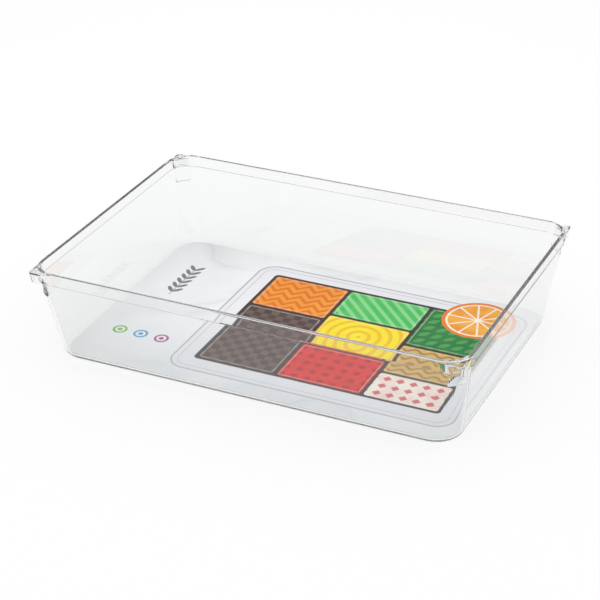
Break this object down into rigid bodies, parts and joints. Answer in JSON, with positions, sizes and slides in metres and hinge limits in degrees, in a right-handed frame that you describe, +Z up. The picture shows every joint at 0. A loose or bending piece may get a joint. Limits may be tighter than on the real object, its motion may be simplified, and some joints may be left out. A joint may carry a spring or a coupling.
{
  "type": "storage drawer",
  "caption": "Clear open storage drawer: a shallow rectangular tray with drafted walls, a stepped lip with square corner tabs and a loose printed card on its floor",
  "frame": {"origin": "centre of the underside, on the surface that the drawer stands on", "axes": "+X along the length, +Y across the width, +Z up out of the open top"},
  "size_m": [0.377, 0.2548, 0.082],
  "materials": {
    "tray": "clear, colourless and polished, with fine moulding ripples",
    "insert_card": "smooth coated board, printed"
  },
  "bodies": {
    "root": {"tray": "tray", "insert_card": "insert_card"}
  },
  "joints": []
}
